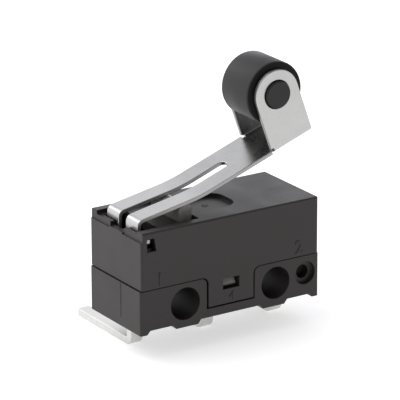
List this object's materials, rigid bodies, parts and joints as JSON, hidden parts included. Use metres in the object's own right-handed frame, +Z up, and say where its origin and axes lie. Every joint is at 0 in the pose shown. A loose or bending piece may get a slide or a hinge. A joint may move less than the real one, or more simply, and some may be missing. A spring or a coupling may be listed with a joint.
{
  "type": "roller lever micro switch",
  "caption": "Subminiature snap-action switch with a slotted hinged lever carrying a roller, through mounting holes and side-bent solder pins.",
  "frame": {"origin": "midway between the two mounting holes, in the middle of the case's thickness", "axes": "+X along the case towards the roller's end, +Y through the thickness towards the tips of the bent pins, +Z up towards the lever"},
  "size_m": [0.0131, 0.009, 0.0167],
  "materials": {
    "case": "black glass-filled thermoplastic, fine moulded texture",
    "plunger": "black moulded thermoplastic, slightly glossier than the case",
    "lever": "bright rolled stainless strip with pressed edges",
    "roller": "black moulded acetal, satin tread",
    "terminals": "tin plated over copper alloy, satin",
    "contacts": "silver alloy rivet head",
    "blade": "rolled spring copper alloy"
  },
  "bodies": {
    "root": {"base": "case", "cover": "case", "common_terminal": "terminals", "normally_open_terminal": "terminals", "normally_closed_terminal": "terminals", "normally_open_contact": "contacts", "normally_closed_contact": "contacts"},
    "lever": {"lever": "lever"},
    "roller": {"roller": "roller"},
    "plunger": {"plunger": "plunger"},
    "contact_arm": {"contact_blade": "blade", "moving_contact": "contacts"}
  },
  "joints": [
    {"name": "lever_pivot", "type": "hinge", "parent": "root", "child": "lever", "pos_m": [-0.00575, 0, 0.00439], "axis": [0, 1, 0], "range_deg": [0, 10], "stiffness_Nm_per_rad": 0.02, "springref_deg": -5.73},
    {"name": "roller_spin", "type": "hinge", "parent": "lever", "child": "roller", "pos_m": [0.00409, 0, 0.01156], "axis": [0, 1, 0], "continuous": true},
    {"name": "plunger_travel", "type": "slide", "parent": "root", "child": "plunger", "axis": [0, 0, -1], "range_m": [0, 0.0006]},
    {"name": "contact_swing", "type": "hinge", "parent": "root", "child": "contact_arm", "pos_m": [-0.00515, 0, 0.00285], "axis": [0, 1, 0], "range_deg": [0, 2.75], "deforming": ["contact_blade"]}
  ],
  "couplings": [
    {"joint": "plunger_travel", "follows": "lever_pivot", "m_per_rad": 0.0034},
    {"joint": "contact_swing", "follows": "lever_pivot", "ratio": 0.275}
  ]
}
